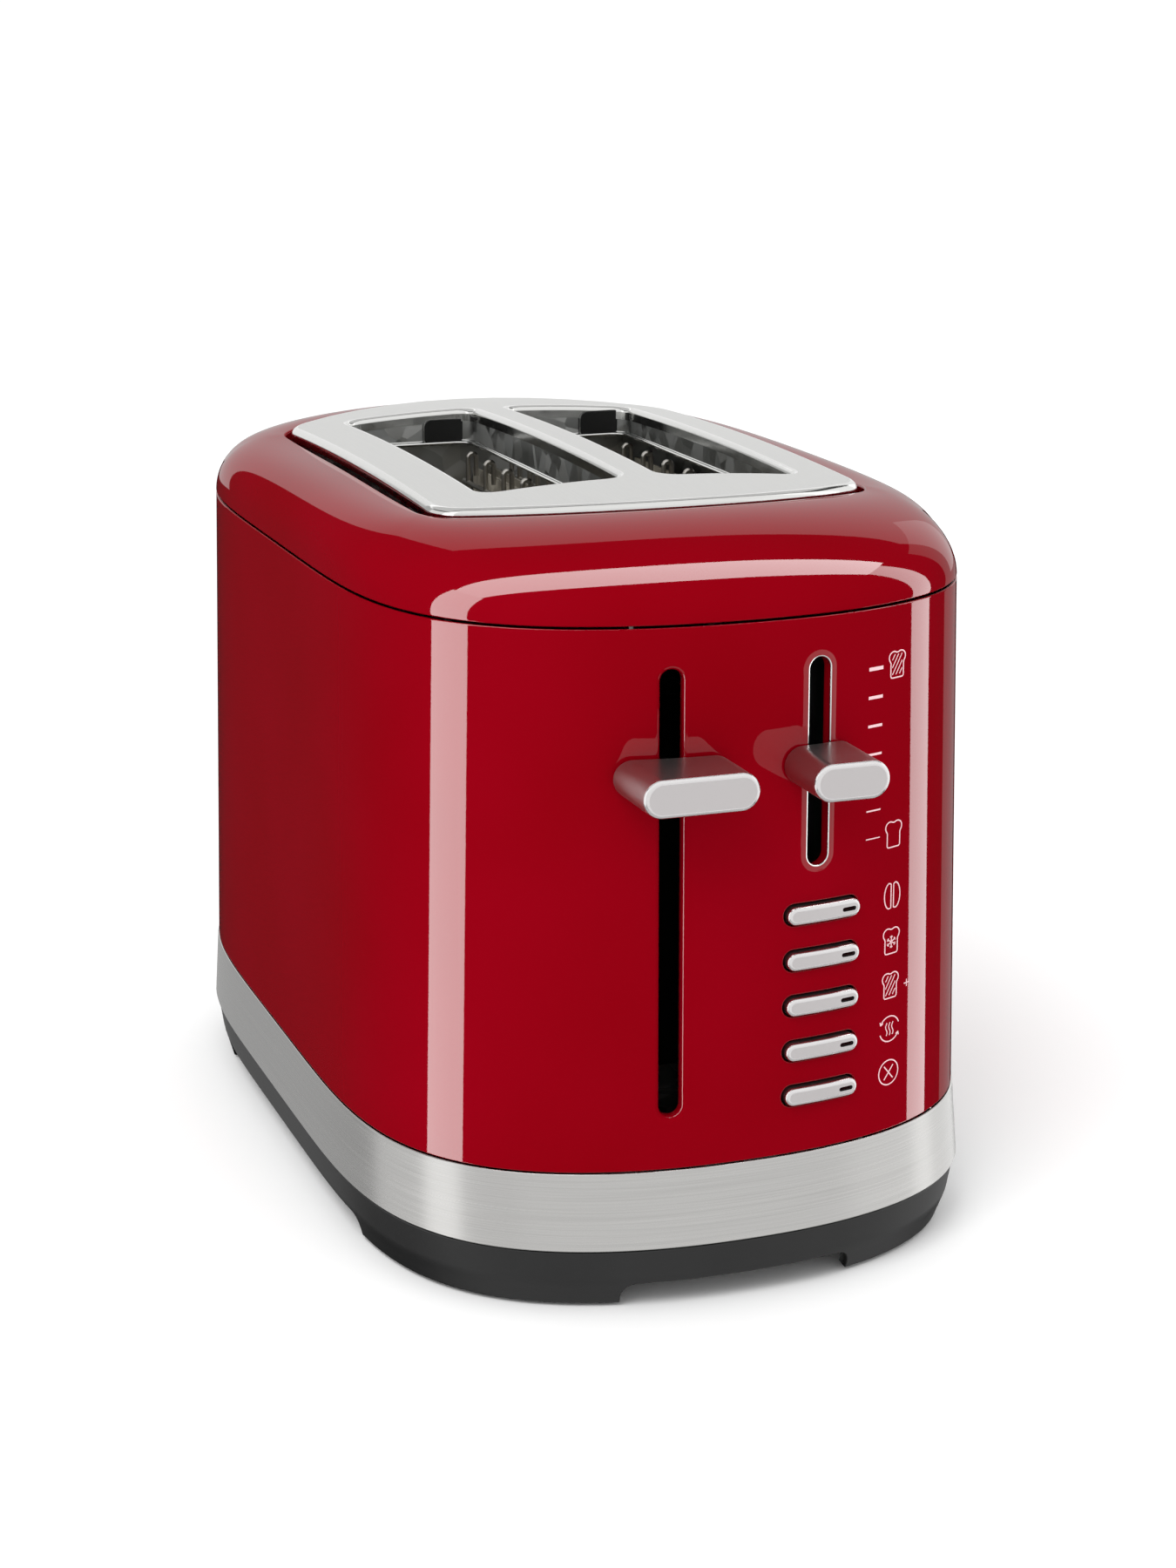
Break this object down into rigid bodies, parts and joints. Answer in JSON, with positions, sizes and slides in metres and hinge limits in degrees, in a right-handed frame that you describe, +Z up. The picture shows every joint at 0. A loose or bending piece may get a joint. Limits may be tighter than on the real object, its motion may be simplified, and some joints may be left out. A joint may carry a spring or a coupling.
{
  "type": "pop up toaster",
  "caption": "Long-bodied pop-up toaster with a lift lever, browning slider, push buttons, self-centring bread guards and a rear crumb tray.",
  "frame": {"origin": "on the worktop, under the middle of the whole assembly", "axes": "+Z up; -Y is the front face with the lever and buttons; +X is to the right as seen from the front"},
  "size_m": [0.1814, 0.3165, 0.2109],
  "materials": {
    "red_enamel": "glossy candy-red paint",
    "satin_steel": "bead-blasted satin stainless",
    "brushed_band": "stainless brushed lengthwise",
    "knob_metal": "satin plated metal with polished edges",
    "zinc_sheet": "galvanised sheet and wire",
    "base_plastic": "dark grey moulded plastic",
    "black_plastic": "black moulded plastic",
    "rubber": "moulded rubber",
    "mica": "mica card with ribbon wire",
    "board": "coated circuit board",
    "winding": "enamelled copper winding",
    "lens": "smoked clear plastic",
    "terminal_plastic": "off-white moulded plastic"
  },
  "bodies": {
    "frame": {"foot_pad_front_left": "rubber", "base_screw_front_left": "zinc_sheet", "foot_pad_front_right": "rubber", "base_screw_front_right": "zinc_sheet", "foot_pad_rear_left": "rubber", "base_screw_rear_left": "zinc_sheet", "foot_pad_rear_right": "rubber", "base_screw_rear_right": "zinc_sheet", "base_housing": "base_plastic", "trim_band": "brushed_band", "body_shell": "red_enamel", "top_cover": "red_enamel", "top_plate": "satin_steel", "front_end_plate": "zinc_sheet", "rear_end_plate": "zinc_sheet", "side_shield_left": "zinc_sheet", "side_shield_right": "zinc_sheet", "insulating_card": "black_plastic", "guide_rod_left": "satin_steel", "guide_rod_right": "satin_steel", "lift_spring": "satin_steel", "magnet_core": "zinc_sheet", "magnet_coil": "winding", "browning_control": "black_plastic", "switch_mat": "rubber", "control_board": "board", "front_liner": "black_plastic", "cord_inlet": "black_plastic", "terminal_block": "terminal_plastic", "heater_outer_left": "mica", "heater_inner_left": "mica", "heater_outer_right": "mica", "heater_inner_right": "mica"},
    "carriage": {"bread_lifter_left": "zinc_sheet", "bread_lifter_right": "zinc_sheet", "carriage": "zinc_sheet", "lever_arm": "zinc_sheet", "lever_knob": "knob_metal", "armature": "zinc_sheet"},
    "browning_slider": {"slider_stem": "black_plastic", "slider_knob": "knob_metal"},
    "crumb_tray": {"crumb_tray": "zinc_sheet", "crumb_tray_handle": "base_plastic"},
    "bagel_button": {"bagel_button": "knob_metal", "bagel_lens": "lens"},
    "frozen_button": {"frozen_button": "knob_metal", "frozen_lens": "lens"},
    "extra_button": {"extra_button": "knob_metal", "extra_lens": "lens"},
    "reheat_button": {"reheat_button": "knob_metal", "reheat_lens": "lens"},
    "cancel_button": {"cancel_button": "knob_metal", "cancel_lens": "lens"},
    "guard_outer_left": {"guard_outer_left": "zinc_sheet"},
    "guard_inner_left": {"guard_inner_left": "zinc_sheet"},
    "guard_outer_right": {"guard_outer_right": "zinc_sheet"},
    "guard_inner_right": {"guard_inner_right": "zinc_sheet"}
  },
  "joints": [
    {"name": "lever_slide", "type": "slide", "parent": "frame", "child": "carriage", "axis": [0, 0, 1], "range_m": [-0.086, 0.021], "stiffness_N_per_m": 60, "springref_m": 0.024, "deforming": ["lift_spring"]},
    {"name": "browning_slide", "type": "slide", "parent": "frame", "child": "browning_slider", "axis": [0, 0, 1], "range_m": [-0.0229, 0.0229]},
    {"name": "crumb_tray_slide", "type": "slide", "parent": "frame", "child": "crumb_tray", "axis": [0, 1, 0], "range_m": [0, 0.26]},
    {"name": "bagel_press", "type": "slide", "parent": "frame", "child": "bagel_button", "axis": [0, 1, 0], "range_m": [0, 0.0016], "stiffness_N_per_m": 900},
    {"name": "frozen_press", "type": "slide", "parent": "frame", "child": "frozen_button", "axis": [0, 1, 0], "range_m": [0, 0.0016], "stiffness_N_per_m": 900},
    {"name": "extra_press", "type": "slide", "parent": "frame", "child": "extra_button", "axis": [0, 1, 0], "range_m": [0, 0.0016], "stiffness_N_per_m": 900},
    {"name": "reheat_press", "type": "slide", "parent": "frame", "child": "reheat_button", "axis": [0, 1, 0], "range_m": [0, 0.0016], "stiffness_N_per_m": 900},
    {"name": "cancel_press", "type": "slide", "parent": "frame", "child": "cancel_button", "axis": [0, 1, 0], "range_m": [0, 0.0016], "stiffness_N_per_m": 900},
    {"name": "guard_outer_left_close", "type": "slide", "parent": "frame", "child": "guard_outer_left", "axis": [1, 0, 0], "range_m": [-0.00172, 0.00692]},
    {"name": "guard_inner_left_close", "type": "slide", "parent": "frame", "child": "guard_inner_left", "axis": [-1, 0, 0], "range_m": [-0.00172, 0.00692]},
    {"name": "guard_outer_right_close", "type": "slide", "parent": "frame", "child": "guard_outer_right", "axis": [-1, 0, 0], "range_m": [-0.00172, 0.00692]},
    {"name": "guard_inner_right_close", "type": "slide", "parent": "frame", "child": "guard_inner_right", "axis": [1, 0, 0], "range_m": [-0.00172, 0.00692]}
  ],
  "couplings": [
    {"joint": "guard_outer_left_close", "follows": "lever_slide", "ratio": -0.08},
    {"joint": "guard_inner_left_close", "follows": "lever_slide", "ratio": -0.08},
    {"joint": "guard_outer_right_close", "follows": "lever_slide", "ratio": -0.08},
    {"joint": "guard_inner_right_close", "follows": "lever_slide", "ratio": -0.08}
  ]
}
